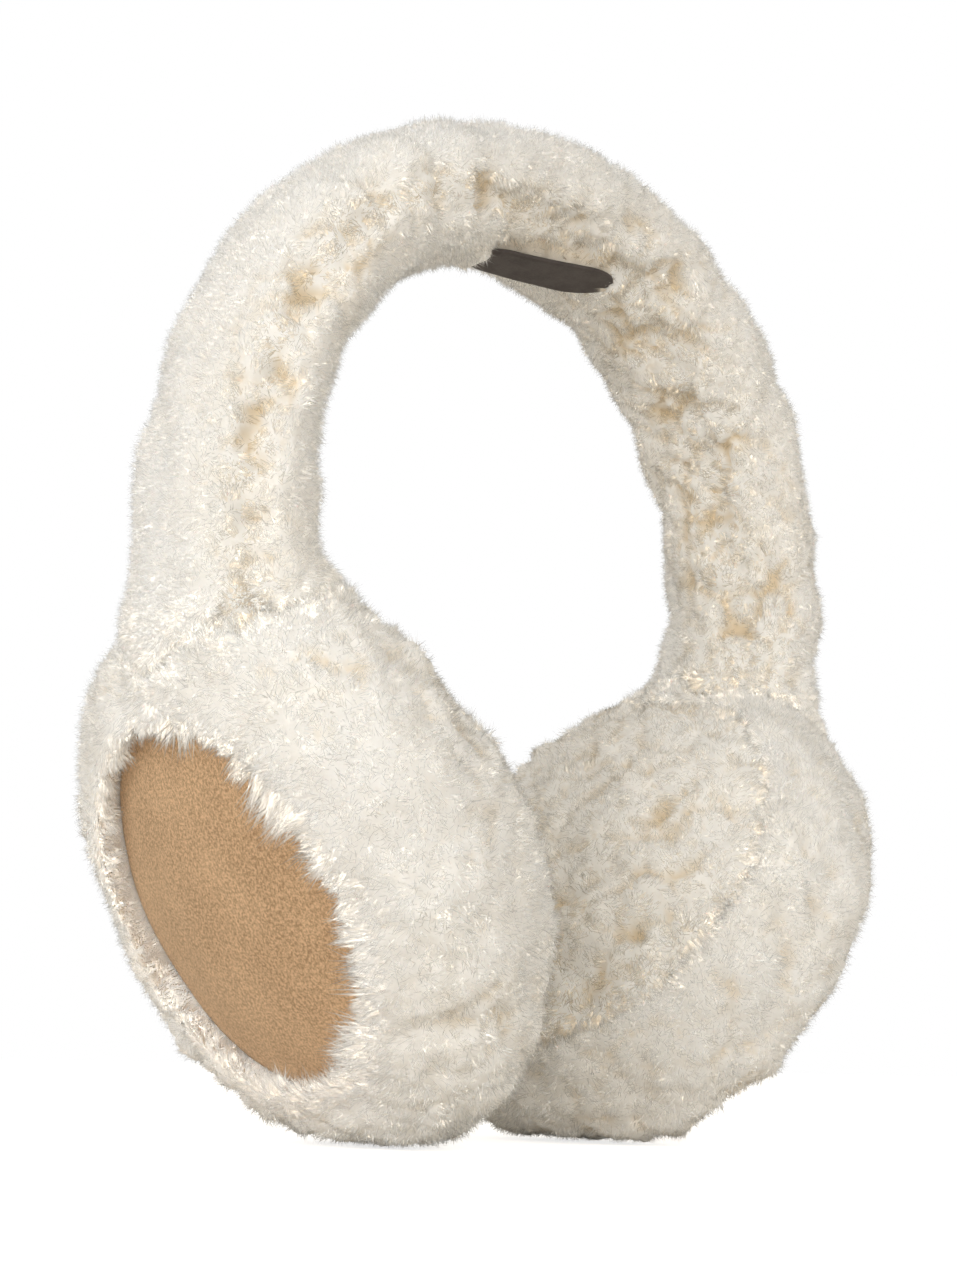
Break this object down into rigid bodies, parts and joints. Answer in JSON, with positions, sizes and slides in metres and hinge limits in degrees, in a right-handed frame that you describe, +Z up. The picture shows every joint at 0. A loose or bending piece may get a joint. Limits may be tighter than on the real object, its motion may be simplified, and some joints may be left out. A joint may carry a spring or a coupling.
{
  "type": "sheepskin earmuffs",
  "caption": "Curly cream sheepskin earmuffs: a wool-sleeved sprung headband with thick round cups, suede discs in their outer faces and a bare leather tab under the top.",
  "frame": {"origin": "on the surface the earmuffs stand on, midway between the two cups", "axes": "+Z up towards the top of the headband, +X from cup to cup, -Y to the front, where the headband leans a little"},
  "size_m": [0.1746, 0.1094, 0.2054],
  "materials": {
    "wool": "dense curly sheepskin pile, matt, warm tan towards the pelt",
    "suede": "tan suede, matt short nap",
    "tab_leather": "smooth dark brown leather, satin"
  },
  "bodies": {
    "root": {"headband_sleeve": "wool", "leather_tab": "tab_leather", "left_cup_gusset": "wool", "left_ear_pad": "wool", "left_suede_disc": "suede", "right_cup_gusset": "wool", "right_ear_pad": "wool", "right_suede_disc": "suede"}
  },
  "joints": []
}
